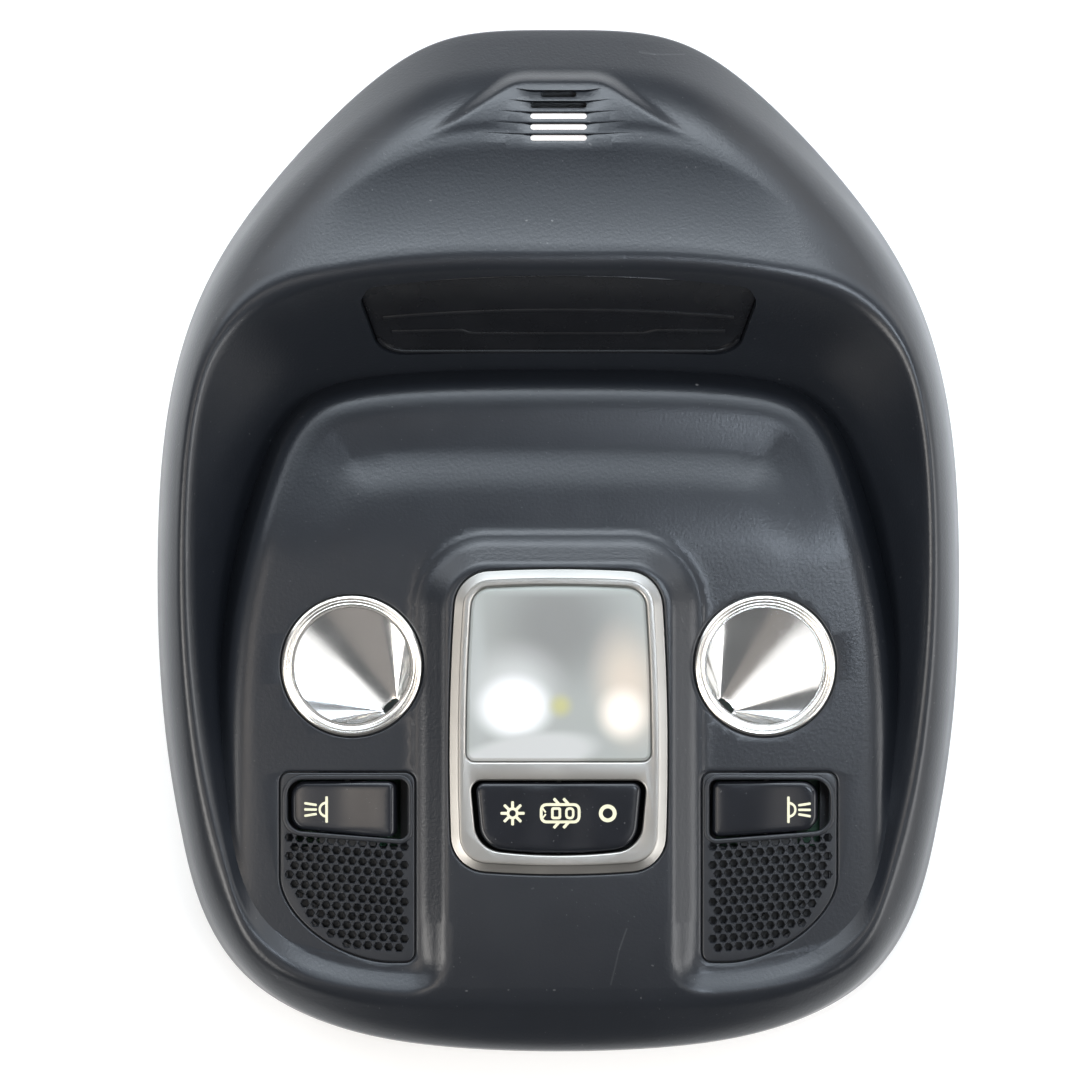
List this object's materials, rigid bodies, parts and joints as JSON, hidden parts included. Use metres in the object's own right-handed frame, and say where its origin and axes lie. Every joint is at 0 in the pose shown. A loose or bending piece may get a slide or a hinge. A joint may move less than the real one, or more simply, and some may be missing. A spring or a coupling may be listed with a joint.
{
  "type": "car interior light",
  "caption": "Egg-shaped overhead light console with two round reading lamps, a square centre lamp, rocker switches, grilles and a louvred end.",
  "frame": {"origin": "middle of the console in plan, on the roof plane that the clips' undersides meet", "axes": "+X to the right of the face seen from the seats, +Y towards the narrow louvred end, +Z out of the visible face"},
  "size_m": [0.2008, 0.2561, 0.0501],
  "materials": {
    "charcoal_shell": "fine-grained charcoal moulding",
    "black_plastic": "smooth black, softly satin",
    "satin_silver": "satin silver on plastic, polished at the edges",
    "frosted_lens": "frosted on the back, glossy on the face",
    "clear_lens": "clear and glossy",
    "reflector": "bright metallised plastic",
    "led": "yellow phosphor in a clear body",
    "symbol_cream": "light cream, matte",
    "housing_plastic": "plain black moulding",
    "board_green": "lacquered board",
    "switch_black": "plain",
    "metal_can": "drawn can",
    "connector_white": "plain natural moulding",
    "pin_brass": "plated pins",
    "steel": "zinc-plated steel"
  },
  "bodies": {
    "console": {"console_shell": "charcoal_shell", "recess_panel": "black_plastic", "centre_bezel": "satin_silver", "centre_lens": "frosted_lens", "centre_reflector": "reflector", "centre_led": "led", "left_lamp_ring": "satin_silver", "right_lamp_ring": "satin_silver", "left_lens": "clear_lens", "right_lens": "clear_lens", "left_reflector": "reflector", "right_reflector": "reflector", "left_led": "led", "right_led": "led", "left_switch_insert": "black_plastic", "right_switch_insert": "black_plastic", "lamp_housing": "housing_plastic", "circuit_board": "board_green", "left_switch": "switch_black", "right_switch": "switch_black", "centre_switches": "switch_black", "left_microphone": "metal_can", "right_microphone": "metal_can", "connector_header": "connector_white", "connector_pins": "pin_brass", "rear_cover": "housing_plastic", "module_screws": "steel", "roof_clips": "steel"},
    "left_rocker": {"left_rocker": "black_plastic", "left_rocker_symbol": "symbol_cream"},
    "right_rocker": {"right_rocker": "black_plastic", "right_rocker_symbol": "symbol_cream"},
    "centre_rocker": {"centre_rocker": "black_plastic", "centre_rocker_symbols": "symbol_cream"}
  },
  "joints": [
    {"name": "left_rocker_pivot", "type": "hinge", "parent": "console", "child": "left_rocker", "pos_m": [-0.0525, -0.067, 0.0237], "axis": [0, 1, 0], "range_deg": [0, 12]},
    {"name": "right_rocker_pivot", "type": "hinge", "parent": "console", "child": "right_rocker", "pos_m": [0.0525, -0.067, 0.0237], "axis": [0, 1, 0], "range_deg": [0, 12]},
    {"name": "centre_rocker_pivot", "type": "hinge", "parent": "console", "child": "centre_rocker", "pos_m": [0, -0.0693, 0.0282], "axis": [0, 1, 0], "range_deg": [-6, 6]}
  ]
}
